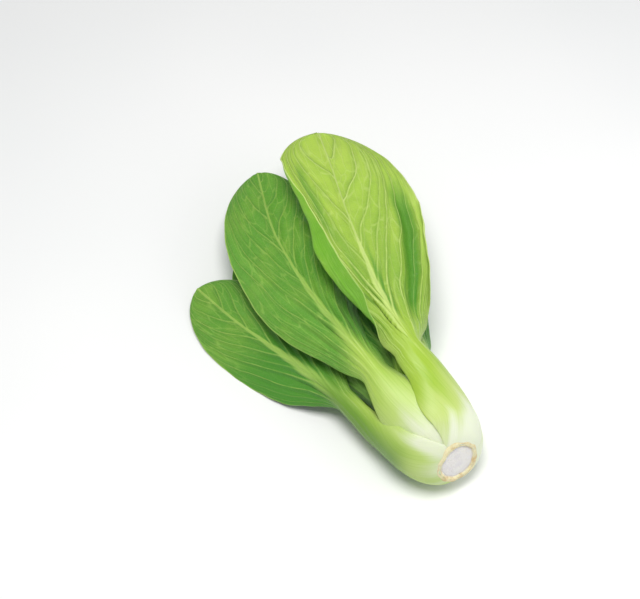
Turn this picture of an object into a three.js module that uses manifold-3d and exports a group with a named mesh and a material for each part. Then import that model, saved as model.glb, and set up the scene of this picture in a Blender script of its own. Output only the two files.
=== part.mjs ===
// Bok choy head (Brassica rapa, Chinensis group), cut at the stem and lying on its side.
//
// Frame, in millimetres: the origin is the flat spot under the bulb that the head rests on,
// +X runs along the head from the cut stem to the leaf tips, +Y is its left, +Z is up.
// The head is a short cut stem and eleven leaves in a spiral. Each leaf is a thick, pale
// leafstalk that wraps the bulb and a thin, waved, spoon-shaped blade.

import * as THREE from 'three';
import Module from 'manifold-3d';

const wasm = await Module();
wasm.setup();

// ---------------------------------------------------------------- driving sizes
const AXIS_HEIGHT = 24.0; // head axis above the surface
const RESTING_SPOT = [1.8, -4.5]; // where the bulb touches the surface, from the head axis
const BASE_X = -20; // where the outermost leafstalks meet the cut stem
const LAMINA = 0.9; // thickness of a blade between its ribs
const GAP = 0.3; // clearance between neighbouring pieces
const TURN_START = 22; // distance along a leaf where it begins to leave the round bulb
const TURN_LENGTH = 30; // over which it does so
const BASE_BEND = { from: 2, length: 22, sideways: -2.2, tilt: 0.3 }; // crook of the stem end
const CUP_STATIONS = [0, 0.15, 0.32, 0.45, 0.6, 0.8, 1];
const SECTION_STEPS = 80; // steps that a cross-section is integrated in
const CURVE_STEPS = 24; // steps in each span of a leaf's midline
const WRAP = 0.3; // share of a leaf that wraps the bulb and presses on its neighbours
const FLATTEN = 0.07; // facets closer than this to flat are joined
const ROW_CROWDING = 0.085; // how much closer the rows of a leaf stand at its two ends

const STEM = {
  name: 'stem_base',
  color: 0xe9dfc4,
  segments: 32,
  // half outline of the cut stem: distance inward from the cut face, radius
  profile: [
    [-1.3, 0], [-1.2, 5.5], [-0.9, 9], [-0.5, 9.6], [-1.6, 10.5], [-1.5, 12.2],
    [-0.3, 13.1], [1.4, 12.2], [4, 9.8], [9, 7], [15, 4], [20, 1.6], [20.6, 0],
  ],
  ragged: [[3, 0.022, 0.4], [5, 0.015, 2.1], [11, 0.012, 1.0]], // waves round, share, phase
};

/*
 * Leaves, outermost first. Angles are in degrees round the head axis, from straight up
 * toward -Y, and name the way that a leaf's outer face looks.
 *   phi, foot, bulge, start  place round the axis, radius at the base and at the bulb,
 *                            and where along X the base sits
 *   path    midline beyond the bulb: x, y, z, angle of the outer face
 *   half    half widths: base, bulb, neck of the leafstalk, blade
 *   neck, taper, spread      where the blade begins, how fast it widens, length of the bulb
 *   thick   rib over the blade's own thickness: at the bulb, the neck, the blade
 *   cup     how far each margin is turned inward at the stations above
 *   fold    a margin or half blade folded outward: angle, width of the bend, and how wide
 *           the folded strip is at each share of the length
 *   wave    height, number and phase of the waves in the margins
 *   slim    share of the half width kept on the left and on the right, at shares of the length
 *   groove  a hollow along the right half: its width, where across it runs and how deep
 *   grid    cells along and across
 */
const LEAVES = [
  {
    name: 'leaf_01_outer_top', color: 0xa9cc5e, phi: 43, foot: 10.5, bulge: 23.2, start: BASE_X,
    path: [[21, -12.5, 49, 26], [43, -9.5, 53, 15], [70, -11.5, 54.5, 8], [102, -18.5, 55, 5],
      [137, -28, 53, 5], [165, -37, 50, 5], [194, -46, 44.5, 5]],
    half: [14, 23, 9.5, 41], neck: 0.29, taper: 0.55, spread: 0.1, thick: [5.5, 4.5, 2.2],
    cup: [65, 65, 52, 22, 8, 8, 12],
    fold: {
      left: { angle: 156, bend: 7, strip: [[0.29, 0], [0.33, 3], [0.36, 5.4], [0.4, 7.9],
        [0.44, 12], [0.5, 13.8], [0.6, 14.5], [0.68, 10], [0.76, 8.4], [0.82, 6.2], [0.87, 5.4],
        [0.91, 4.4], [0.945, 0], [1, 0]] },
      right: { angle: 120, bend: 7, strip: [[0.3, 0], [0.42, 7], [0.56, 9], [0.68, 6], [0.78, 0]] },
    },
    wave: [1, 2.3, 0], asym: 0.04, grid: [30, 20],
    slim: [[0.14, 1, 1], [0.22, 0.92, 0.95], [0.28, 0.98, 0.95], [0.31, 0.77, 1],
      [0.34, 0.52, 0.96], [0.37, 0.5, 0.92], [0.4, 0.58, 0.94], [0.44, 0.76, 0.97],
      [0.5, 0.885, 1.02], [0.6, 0.957, 1.06], [0.68, 0.77, 1.07], [0.76, 0.785, 1.065],
      [0.82, 0.84, 1.055], [0.87, 0.93, 1.04], [0.94, 1.08, 0.97], [1, 1.15, 0.95]],
    groove: { width: 0.105, at: [[0.4, 0.59], [0.5, 0.66], [0.6, 0.7], [0.7, 0.76]],
      depth: [[0.34, 0], [0.42, 4.4], [0.7, 4.2], [0.84, 0]] },
  },
  {
    name: 'leaf_02_outer_left', color: 0x6fae45, phi: -100, foot: 10.5, bulge: 23.7, start: BASE_X,
    path: [[17, 26.5, 22, -76], [34, 28, 22.5, -60], [52, 31, 21.5, -46], [75, 37, 18.5, -34],
      [100, 44.5, 15, -28], [125, 51.5, 11.5, -25], [156, 58, 8, -22]],
    half: [18, 24.5, 8.2, 27], neck: 0.37, taper: 0.6, spread: 0.11, thick: [5.5, 4.6, 2.2],
    cup: [65, 65, 56, 30, 12, 10, 12], wave: [1.8, 2.2, 2], grid: [24, 12],
    slim: [[0.08, 1, 1], [0.18, 1, 0.84], [0.3, 0.95, 0.72], [0.37, 0.9, 0.8],
      [0.41, 0.74, 0.7], [0.46, 0.85, 0.84], [0.55, 1, 1]],
  },
  {
    name: 'leaf_03_outer_right', color: 0x5f9f40, phi: 125, foot: 10.5, bulge: 23.3, start: BASE_X,
    path: [[20, -21, 12, 130], [42, -23, 7.5, 150], [65, -27, 3.6, 168], [95, -32, 1.6, 178],
      [125, -37, 1.4, 182], [150, -41, 3, 184], [172, -45, 6, 186]],
    half: [15, 25, 8.5, 27], neck: 0.34, taper: 0.6, spread: 0.12, thick: [5.2, 4.2, 2],
    cup: [65, 65, 50, 24, 10, 8, 8], wave: [1.2, 2.5, 0], grid: [22, 10],
    slim: [[0.26, 1, 1], [0.35, 0.76, 1], [0.43, 0.68, 1], [0.52, 0.8, 1], [0.64, 1, 1]],
  },
  {
    name: 'leaf_04_top', color: 0x6aab44, phi: -21, foot: 9.4, bulge: 19.6, start: -18,
    path: [[23, 12, 45, -16], [47, 13, 44.5, -14], [69, 13.5, 42.5, -14], [94, 14.5, 40.5, -12],
      [124, 13, 37.5, -8], [156, 8, 34.5, -6], [197, -6, 29.5, -4]],
    half: [12, 22, 8, 33], neck: 0.27, taper: 0.6, spread: 0.1, thick: [4.8, 4.4, 2.2],
    cup: [60, 62, 48, 26, 16, 14, 14],
    fold: {
      right: { angle: -40, bend: 6, strip: [[0.28, 0], [0.4, 14], [0.5, 20], [0.75, 16],
        [0.9, 8], [1, 0]] },
    },
    wave: [2, 2.6, 1], asym: 0.05, grid: [26, 12],
    slim: [[0.1, 1, 1], [0.2, 0.9, 1], [0.27, 0.8, 0.8], [0.31, 0.74, 0.54], [0.34, 0.78, 0.5],
      [0.42, 0.9, 0.66], [0.52, 1, 0.84], [0.64, 1, 0.97], [1, 1, 1]],
  },
  {
    name: 'leaf_05_under', color: 0x5a9a3e, phi: -150, foot: 9.6, bulge: 19.8, start: -18.5,
    path: [[20, 11, 7.5, -158], [42, 13.5, 4.8, -168], [65, 16.5, 3, -176], [92, 19, 1.6, -180],
      [120, 21, 1.4, -182], [145, 22, 3, -184], [164, 23, 6, -186]],
    half: [13, 23, 8.2, 25], neck: 0.34, taper: 0.6, spread: 0.12, thick: [5, 4.2, 2],
    cup: [65, 65, 46, 20, 8, 6, 6], wave: [1, 2.2, 0.5], grid: [20, 10],
  },
  {
    name: 'leaf_06_inner_right', color: 0x4f9140, phi: 71, foot: 8, bulge: 16, start: -14,
    path: [[22, -18, 29, 64], [45, -23, 27, 38], [70, -29, 23.5, 16], [100, -34, 19.5, 10],
      [130, -38, 16.5, 8], [158, -42, 13.5, 6]],
    half: [9, 17, 7, 24], neck: 0.34, taper: 0.6, spread: 0.12, thick: [4.2, 3.6, 1.8],
    cup: [60, 62, 48, 22, 12, 10, 12], wave: [1.6, 2.5, 0.7], grid: [18, 8],
    slim: [[0.28, 1, 1], [0.36, 1, 0.8], [0.44, 1, 0.68], [0.54, 1, 0.82], [0.66, 1, 1]],
  },
  {
    name: 'leaf_07_inner_left', color: 0x4f9140, phi: -67, foot: 7.8, bulge: 14.8, start: -14,
    path: [[22, 14, 28.5, -62], [45, 17, 25.5, -46], [70, 20, 21, -26], [98, 23, 17.5, -14],
      [124, 25, 15, -10], [146, 27, 12.5, -8]],
    half: [9, 16, 7, 21], neck: 0.34, taper: 0.6, spread: 0.12, thick: [4, 3.4, 1.8],
    cup: [60, 62, 48, 22, 12, 10, 12], wave: [1.4, 2.5, 2.7], grid: [18, 8],
  },
  {
    name: 'leaf_08_inner_under', color: 0x4b8b3d, phi: 160, foot: 7.6, bulge: 14.6, start: -13,
    path: [[22, -7, 11, 162], [45, -6, 9.5, 172], [70, -5, 8, 180], [100, -4, 8, 182],
      [128, -4, 7.1, 184], [150, -4, 9.5, 186]],
    half: [9, 16, 6.6, 20], neck: 0.34, taper: 0.6, spread: 0.12, thick: [4, 3.4, 1.8],
    cup: [60, 60, 44, 18, 8, 8, 8], wave: [1, 2.5, 1.7], grid: [18, 8],
  },
  {
    name: 'leaf_09_heart_top', color: 0x62a345, phi: 18, foot: 5.8, bulge: 11.2, start: -9,
    path: [[22, -4, 35, 20], [45, -9, 37.5, 14], [70, -18, 38, 10], [98, -25, 36, 8],
      [120, -30, 34, 6], [140, -34, 32, 6]],
    half: [6, 12, 5.6, 15], neck: 0.36, taper: 0.65, spread: 0.12, thick: [3.4, 3, 1.5],
    cup: [60, 60, 44, 24, 14, 12, 12], wave: [1.4, 2.5, 0.2], grid: [16, 8],
  },
  {
    name: 'leaf_10_heart_under', color: 0x6fae4c, phi: -119, foot: 4.2, bulge: 7.6, start: -6,
    path: [[22, 5, 19.5, -122], [45, 6, 17, -150], [70, 6, 14, -172], [92, 6, 12.5, -178],
      [112, 6, 13, -182]],
    half: [4, 8.5, 4.6, 13], neck: 0.38, taper: 0.65, spread: 0.12, thick: [2.8, 2.4, 1.2],
    cup: [60, 60, 44, 24, 14, 10, 10], wave: [1, 2.5, 1.2], grid: [14, 6],
  },
  {
    name: 'leaf_11_bud', color: 0x3f7a34, phi: 0, foot: 1.2, bulge: 2.2, start: -2,
    path: [[18, 0, 27, 0], [34, -1, 30, -2], [52, -3.5, 33.6, -2], [72, -3, 31, -5],
      [94, -4, 27, -6]],
    half: [1.6, 4, 3.6, 9.5], neck: 0.36, taper: 0.7, spread: 0.2, thick: [1.8, 1.6, 0.9],
    cup: [40, 40, 40, 24, 18, 14, 14], wave: [0.8, 2.5, 1.2], grid: [14, 6], free: true,
  },
];

// ---------------------------------------------------------------- small helpers
const radians = (degrees) => degrees * Math.PI / 180;
const clamp01 = (t) => Math.min(1, Math.max(0, t));
const smooth = (t) => clamp01(t) ** 2 * (3 - 2 * clamp01(t));
const mix = (a, b, t) => a + (b - a) * t;

// Value at x of a list of [x, value] pairs, along straight lines between them.
function straightTable(table, x) {
  if (x <= table[0][0]) return table[0][1];
  for (let i = 1; i < table.length; i += 1) {
    const [x0, y0] = table[i - 1];
    const [x1, y1] = table[i];
    if (x <= x1) return mix(y0, y1, (x - x0) / (x1 - x0));
  }
  return table[table.length - 1][1];
}

// The same along a smooth curve.
function curvedTable(table, x) {
  const last = table.length - 1;
  if (x <= table[0][0]) return table[0][1];
  if (x >= table[last][0]) return table[last][1];
  const slope = (i) => {
    if (i <= 0 || i >= last) return 0;
    return (table[i + 1][1] - table[i - 1][1]) / (table[i + 1][0] - table[i - 1][0]);
  };
  const k = table.findIndex((entry) => entry[0] >= x) - 1;
  const h = table[k + 1][0] - table[k][0];
  const t = (x - table[k][0]) / h;
  return (2 * t ** 3 - 3 * t ** 2 + 1) * table[k][1] + (t ** 3 - 2 * t ** 2 + t) * h * slope(k)
    + (3 * t ** 2 - 2 * t ** 3) * table[k + 1][1] + (t ** 3 - t ** 2) * h * slope(k + 1);
}

// The crook of the stem end: it leans sideways and its cut face tips up.
function bendBase(point) {
  const t = smooth((BASE_BEND.from - point.x) / BASE_BEND.length);
  const lean = BASE_BEND.tilt * t * (point.z - AXIS_HEIGHT);
  return new THREE.Vector3(point.x + lean, point.y + BASE_BEND.sideways * t, point.z);
}

// ---------------------------------------------------------------- midline of a leaf
// Points [x, y, z, angle] up the bulb and along the given path, as a Catmull-Rom curve.
function leafMidline(leaf) {
  const ring = (x, radius) => [
    x, -radius * Math.sin(radians(leaf.phi)),
    AXIS_HEIGHT + radius * Math.cos(radians(leaf.phi)), leaf.phi,
  ];
  const rise = leaf.bulge - leaf.foot;
  const run = -1 - leaf.start;
  const knots = [
    ring(leaf.start, leaf.foot), ring(leaf.start + run * 0.13, leaf.foot + rise * 0.42),
    ring(leaf.start + run * 0.47, leaf.foot + rise * 0.8), ring(-1, leaf.bulge), ...leaf.path,
  ];
  const beyond = (a, b) => a.map((value, i) => 2 * value - b[i]);
  const last = knots.length - 1;
  const padded = [beyond(knots[0], knots[1]), ...knots, beyond(knots[last], knots[last - 1])];
  const points = [];
  for (let i = 1; i < padded.length - 2; i += 1) {
    for (let j = 0; j < CURVE_STEPS; j += 1) {
      const t = j / CURVE_STEPS;
      points.push(padded[i].map((b, axis) => {
        const [a, c, d] = [padded[i - 1][axis], padded[i + 1][axis], padded[i + 2][axis]];
        return 0.5 * (2 * b + (c - a) * t + (2 * a - 5 * b + 4 * c - d) * t ** 2
          + (3 * b - a - 3 * c + d) * t ** 3);
      }));
    }
  }
  points.push(knots[last]);
  const distance = [0];
  for (let i = 1; i < points.length; i += 1) {
    const [p, q] = [points[i - 1], points[i]];
    distance.push(distance[i - 1] + Math.hypot(q[0] - p[0], q[1] - p[1], q[2] - p[2]));
  }
  const length = distance[distance.length - 1];
  const at = (travelled) => {
    const s = Math.min(length, Math.max(0, travelled));
    const k = Math.max(1, distance.findIndex((value) => value >= s));
    const t = (s - distance[k - 1]) / (distance[k] - distance[k - 1]);
    return points[k - 1].map((value, axis) => mix(value, points[k][axis], t));
  };
  return { at, length };
}

// ---------------------------------------------------------------- widths and thickness
function halfWidth(leaf, s) {
  const [base, bulb, neck, blade] = leaf.half;
  const fade = Math.exp(-(Math.max(0, s - 0.1) ** 2) / (2 * leaf.spread ** 2));
  const foot = 1 - (1 - base / bulb) * clamp01(1 - s / 0.1) ** 1.5;
  const stalk = (neck + (bulb - neck) * fade) * foot;
  const u = clamp01((s - leaf.neck) / (1 - leaf.neck));
  const tip = 0.45;
  const sum = leaf.taper + tip;
  const peak = (leaf.taper / sum) ** leaf.taper * (tip / sum) ** tip;
  const spoon = smooth(u / 0.1 + 0.25) * u ** leaf.taper * (1 - u) ** tip / peak;
  return Math.max(stalk * Math.sqrt(clamp01(1 - u ** 3)) + (blade - neck) * spoon, 0.6);
}

// Thickness outward and inward of the middle surface: a crescent in the leafstalk that
// narrows to a rib, which stands out of the blade's outer face.
function faceOffsets(leaf, s, w) {
  const [bulb, neck, blade] = leaf.thick;
  const n = leaf.neck;
  const height = straightTable(
    [[0, bulb * 0.5], [0.12, bulb], [n, neck], [n + 0.2, blade], [0.8, blade * 0.45], [1, 0.2]], s,
  );
  const width = straightTable([[0, 1], [n - 0.12, 1], [n + 0.05, 0.5], [n + 0.2, 0.2], [1, 0.07]], s);
  const q = Math.abs(w);
  const toBlade = smooth((s - n + 0.12) / 0.16);
  const crescent = 1 - q ** 2.2;
  const rib = Math.exp(-((q / (width * 0.9)) ** 2));
  const added = height * mix(crescent, rib, toBlade);
  const outerShare = mix(0.5, 0.8, toBlade);
  return { out: LAMINA / 2 + added * outerShare, into: LAMINA / 2 + added * (1 - outerShare) };
}

// ---------------------------------------------------------------- middle surface of a leaf
// One half of a cross-section, worked out by turning as it goes from the midrib to the
// margin: cupped inward all along, then folded outward where the leaf has a fold.
function halfSection(leaf, s, side, half) {
  const cup = radians(straightTable(CUP_STATIONS.map((x, i) => [x, leaf.cup[i]]), s));
  const fold = leaf.fold?.[side > 0 ? 'right' : 'left'];
  const strip = fold ? curvedTable(fold.strip, s) : 0;
  const start = Math.max(1 - strip / half, 0.05);
  const turn = (q) => {
    const folded = strip > 0.2
      ? radians(fold.angle) * smooth(strip / 6) * smooth((q - start) * half / fold.bend) : 0;
    return folded - cup * q;
  };
  const across = [0];
  const outward = [0];
  for (let i = 1; i <= SECTION_STEPS; i += 1) {
    const angle = turn((i - 0.5) / SECTION_STEPS);
    across.push(across[i - 1] + Math.cos(angle) * half / SECTION_STEPS);
    outward.push(outward[i - 1] + Math.sin(angle) * half / SECTION_STEPS);
  }
  const at = (list, q) => {
    const place = Math.min(q, 1) * SECTION_STEPS;
    const k = Math.min(SECTION_STEPS - 1, Math.floor(place));
    return mix(list[k], list[k + 1], place - k) + Math.max(0, q - 1) * half
      * (list === across ? Math.cos(turn(1)) : Math.sin(turn(1)));
  };
  return { across: (q) => at(across, q), outward: (q) => at(outward, q), start };
}

// The middle surface: point(s, w), s from 0 at the base to 1 at the tip, w from -1 to 1.
function middleSurface(leaf) {
  const midline = leafMidline(leaf);
  const rows = new Map();

  function makeRow(s) {
    const travelled = s * midline.length;
    const step = midline.length * 0.01;
    const [x, y, z, angle] = midline.at(travelled);
    const centre = new THREE.Vector3(x, y, z);
    const ahead = new THREE.Vector3(...midline.at(travelled + step).slice(0, 3));
    const behind = new THREE.Vector3(...midline.at(travelled - step).slice(0, 3));
    const along = ahead.sub(behind).normalize();
    const facing = new THREE.Vector3(0, -Math.sin(radians(angle)), Math.cos(radians(angle)));
    const out = facing.addScaledVector(along, -facing.dot(along)).normalize();
    const half = halfWidth(leaf, s);
    const isBlade = smooth((s - leaf.neck + 0.06) / 0.2);
    const slim = leaf.slim ?? [[0, 1, 1]];
    const sides = {};
    for (const side of [-1, 1]) {
      const kept = curvedTable(slim.map(([at, left, right]) => [at, side < 0 ? left : right]), s);
      const width = half * kept * (1 + side * (leaf.asym ?? 0) * isBlade);
      sides[side] = { width, ...halfSection(leaf, s, side, width) };
    }
    const leaving = leaf.free ? 1 : smooth((travelled - TURN_START) / TURN_LENGTH);
    const groove = leaf.groove && {
      depth: straightTable(leaf.groove.depth, s),
      at: straightTable(leaf.groove.at, s),
    };
    const across = along.clone().cross(out);
    return { s, centre, across, out, half, isBlade, sides, leaving, groove };
  }

  function row(s) {
    if (!rows.has(s)) rows.set(s, makeRow(s));
    return rows.get(s);
  }

  function point(s, w) {
    const r = row(Math.min(1, Math.max(0, s)));
    const side = w > 0 ? 1 : -1;
    const q = Math.abs(w);
    const [height, count, phase] = leaf.wave;
    const wave = height * r.isBlade * q ** 2
      * Math.sin(2 * Math.PI * count * r.s + phase + (side > 0 ? 1.7 : 0));
    const hollow = w > 0 && r.groove
      ? r.groove.depth * Math.exp(-(((q - r.groove.at) / leaf.groove.width) ** 2)) : 0;
    const open = r.centre.clone()
      .addScaledVector(r.across, side * r.sides[side].across(q))
      .addScaledVector(r.out, r.sides[side].outward(q) + wave - hollow);
    if (r.leaving >= 1) return bendBase(open);
    const y = r.centre.y;
    const z = r.centre.z - AXIS_HEIGHT;
    const turned = w * r.half / Math.max(Math.hypot(y, z), 1e-6);
    const round = new THREE.Vector3(
      r.centre.x,
      y * Math.cos(turned) - z * Math.sin(turned),
      AXIS_HEIGHT + z * Math.cos(turned) + y * Math.sin(turned),
    );
    return bendBase(round.lerp(open, r.leaving));
  }

  function normal(s, w) {
    const [h, k] = [0.004, 0.01];
    const lengthwise = point(Math.min(1, s + h), w).sub(point(Math.max(0, s - h), w));
    const crosswise = point(s, Math.min(1, w + k)).sub(point(s, Math.max(-1, w - k)));
    return crosswise.cross(lengthwise).normalize();
  }

  return { point, normal, row, length: midline.length };
}

// ---------------------------------------------------------------- closed leaf solids
// Shares of the half width at which the columns stand: half of them up to a fold.
function columnShare(share, foldStart) {
  const edge = Math.min(0.78, Math.max(0.35, foldStart));
  return share < 0.5 ? share * 2 * edge : mix(edge, 1, share * 2 - 1);
}

// A closed grid: the outer face, the inner face split into the same triangles, and the rim.
// Rows stand closer at the base and the tip. grow adds clearance all round, and upTo cuts
// the leaf short at that share of its length.
function leafSolid(leaf, grow = 0, upTo = 1) {
  const [rowCells, acrossCells] = leaf.grid;
  const station = (i) => i / rowCells - ROW_CROWDING * Math.sin(2 * Math.PI * i / rowCells);
  let alongCells = rowCells;
  while (station(alongCells - 1) > upTo) alongCells -= 1;
  const surface = middleSurface(leaf);
  const columns = acrossCells + 1;
  const vertices = [];
  for (const face of [1, -1]) {
    for (let i = 0; i <= alongCells; i += 1) {
      const s = Math.max(0, station(i));
      const r = surface.row(s);
      for (let j = 0; j <= acrossCells; j += 1) {
        const place = 2 * j / acrossCells - 1;
        const side = place > 0 ? 1 : -1;
        const q = columnShare(Math.abs(place), leaf.fold ? r.sides[side].start : 0.55);
        const w = side * q * (1 + grow / r.half);
        const offset = faceOffsets(leaf, s, side * q);
        const distance = face > 0 ? offset.out + grow : -offset.into - grow;
        const clamped = Math.max(-1, Math.min(1, w));
        vertices.push(surface.point(s, w).addScaledVector(surface.normal(s, clamped), distance));
      }
    }
  }
  const layer = columns * (alongCells + 1);
  const triangles = [];
  const quad = (a, b, c, d) => triangles.push(a, b, c, a, c, d);
  for (let i = 0; i < alongCells; i += 1) {
    for (let j = 0; j < acrossCells; j += 1) {
      const a = i * columns + j;
      const [b, c, d] = [a + 1, a + columns + 1, a + columns];
      quad(a, b, c, d);
      triangles.push(layer + a, layer + c, layer + b, layer + a, layer + d, layer + c);
    }
  }
  for (let i = 0; i < alongCells; i += 1) {
    const a = i * columns;
    const b = a + acrossCells;
    quad(a, a + columns, layer + a + columns, layer + a);
    quad(b, layer + b, layer + b + columns, b + columns);
  }
  for (let j = 0; j < acrossCells; j += 1) {
    const b = alongCells * columns + j;
    quad(j, layer + j, layer + j + 1, j + 1);
    quad(b, b + 1, layer + b + 1, layer + b);
  }
  return solid(vertices, triangles);
}

// ---------------------------------------------------------------- the cut stem
function stemSolid(grow = 0) {
  const { profile, segments, ragged } = STEM;
  const inner = profile.slice(1, -1);
  const place = (inset, radius, angle) => {
    const rough = ragged.reduce((sum, [n, share, phase]) => sum + share * Math.sin(n * angle + phase), 1);
    const r = radius > 6 ? (radius + grow) * rough : radius + grow;
    return bendBase(new THREE.Vector3(
      BASE_X + inset, -r * Math.sin(angle), AXIS_HEIGHT + r * Math.cos(angle),
    ));
  };
  const vertices = [place(profile[0][0] - grow, 0, 0)];
  for (const [inset, radius] of inner) {
    for (let j = 0; j < segments; j += 1) {
      vertices.push(place(inset + (inset < 0 ? -grow : 0), radius, 2 * Math.PI * j / segments));
    }
  }
  vertices.push(place(profile[profile.length - 1][0] + grow, 0, 0));
  const last = vertices.length - 1;
  const triangles = [];
  for (let j = 0; j < segments; j += 1) {
    const next = (j + 1) % segments;
    triangles.push(0, 1 + next, 1 + j);
    for (let i = 0; i < inner.length - 1; i += 1) {
      const a = 1 + i * segments;
      const b = a + segments;
      triangles.push(a + j, b + next, b + j, a + j, a + next, b + next);
    }
    const rim = 1 + (inner.length - 1) * segments;
    triangles.push(last, rim + j, rim + next);
  }
  return solid(vertices, triangles);
}

// ---------------------------------------------------------------- solids and meshes
function solid(vertices, triangles) {
  const mesh = new wasm.Mesh({
    numProp: 3,
    vertProperties: new Float32Array(vertices.flatMap((v) => [v.x, v.y, v.z])),
    triVerts: new Uint32Array(triangles),
  });
  return new wasm.Manifold(mesh);
}

const largestPart = (body) => body.decompose().sort((a, b) => b.volume() - a.volume())[0];

function toMesh(name, body, color) {
  const { vertProperties, triVerts } = body.getMesh();
  const geometry = new THREE.BufferGeometry();
  geometry.setAttribute('position', new THREE.BufferAttribute(vertProperties, 3));
  geometry.setIndex(new THREE.BufferAttribute(triVerts, 1));
  geometry.computeVertexNormals();
  const material = new THREE.MeshStandardMaterial({ color, roughness: 0.45, metalness: 0 });
  const mesh = new THREE.Mesh(geometry, material);
  mesh.name = name;
  return mesh;
}

// ---------------------------------------------------------------- the head
const head = new THREE.Group();
head.position.set(-RESTING_SPOT[0], -RESTING_SPOT[1], 0);
let taken = stemSolid(GAP);
head.add(toMesh(STEM.name, stemSolid(), STEM.color));
for (const leaf of LEAVES) {
  const body = leafSolid(leaf).subtract(taken).trimByPlane([0, 0, 1], 0).simplify(FLATTEN);
  head.add(toMesh(leaf.name, largestPart(body), leaf.color));
  taken = taken.add(leafSolid(leaf, GAP, WRAP));
}

export default head;
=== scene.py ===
"""Bok choy head lying on its side: a cut stem and eleven leaves with ribs, veins and waves."""
import math

import bpy
import numpy as np
from mathutils import Matrix, Vector


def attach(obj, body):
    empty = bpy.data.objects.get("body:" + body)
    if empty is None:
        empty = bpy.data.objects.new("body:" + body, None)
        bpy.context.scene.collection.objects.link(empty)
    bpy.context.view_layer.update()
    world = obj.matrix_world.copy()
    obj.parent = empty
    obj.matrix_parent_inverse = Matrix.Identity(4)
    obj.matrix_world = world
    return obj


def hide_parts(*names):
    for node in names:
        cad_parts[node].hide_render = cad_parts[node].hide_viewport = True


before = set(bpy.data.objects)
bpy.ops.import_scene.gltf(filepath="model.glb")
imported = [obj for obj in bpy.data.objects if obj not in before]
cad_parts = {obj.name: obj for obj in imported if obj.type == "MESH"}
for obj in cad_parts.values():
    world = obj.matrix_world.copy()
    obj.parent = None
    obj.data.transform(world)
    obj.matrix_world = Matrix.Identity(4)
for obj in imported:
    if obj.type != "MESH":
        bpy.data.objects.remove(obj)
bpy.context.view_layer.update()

# ---------------------------------------------------------------- driving sizes
# The plant is worked out in millimetres, as in the CAD, and MM turns it into metres.
MM = 0.001
AXIS_HEIGHT = 24.0  # head axis above the surface
RESTING_SPOT = (1.8, -4.5)  # where the bulb touches the surface, from the head axis
BASE_X = -20.0  # where the outermost leafstalks meet the cut stem
LAMINA = 0.6  # thickness of a blade between its ribs, thinner than the CAD's
TURN_START = 22.0  # distance along a leaf where it begins to leave the round bulb
TURN_LENGTH = 30.0  # over which it does so
BEND_FROM, BEND_LENGTH, BEND_SIDEWAYS, BEND_TILT = 2.0, 22.0, -2.2, 0.3  # crook of the stem end
CUP_STATIONS = [0, 0.15, 0.32, 0.45, 0.6, 0.8, 1]  # shares of the length where a cup is given
SECTION_STEPS = 240  # steps that half a cross-section is worked out in
CURVE_STEPS = 24  # steps in each span of a leaf's midline
BULB_TOP_X = -1.0  # where every leaf's midline has climbed to the widest part of the bulb
BULB_KNOTS = [(0.13, 0.42), (0.47, 0.8)]  # midline on the way there: shares of its run and rise
TIP_ROUNDNESS = 0.45  # 0.5 would make the tip of a blade a round arc, and 1 a point
MARGIN_NICKS = 0.005  # unevenness of the blade margins, as a share of the width

# Relief of a leaf, finer than the CAD's: the blade sinks between its side veins, each vein
# stands out of the underside as a ridge, and the leafstalk is fluted lengthwise.
QUILT_DEPTH, QUILT_REACH = 0.62, 4.0
RIDGE_HEIGHT, RIDGE_WIDTH = 0.30, 0.8
DENT_SHARE = 0.35  # how much of a ridge shows as a dent in the upper face
EDGE_BAND, EDGE_THINNING = 0.7, 0.55  # a margin thins by this share over its last stretch
FLUTE_HEIGHT, FLUTE_COUNT = 0.08, 23

# Half outline of the cut stem: distance inward from the cut face, radius. Its tan rim is
# ragged round and nicked lengthwise.
STEM_PROFILE = [
    (-1.3, 0.0), (-1.2, 5.5), (-0.9, 9.0), (-0.5, 9.6), (-1.6, 10.5), (-1.5, 12.2),
    (-0.3, 13.1), (1.4, 12.2), (4.0, 9.8), (9.0, 7.0), (15.0, 4.0), (20.0, 1.6), (20.6, 0.0),
]
STEM_RAGGED = [(3, 0.022, 0.4), (5, 0.015, 2.1), (11, 0.012, 1.0)]  # waves round, share, phase
STEM_SEGMENTS = 180
RINGS_PER_SPAN = 8
PITH_RADIUS = 6.0  # the cut face is round inside this
RIM_RADIUS, RIM_WIDTH, RIM_NOTCH = 11.2, 0.9, 0.55
RIM_WAVES = (4, 7, 9, 13, 21)  # waves round the rim

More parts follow.
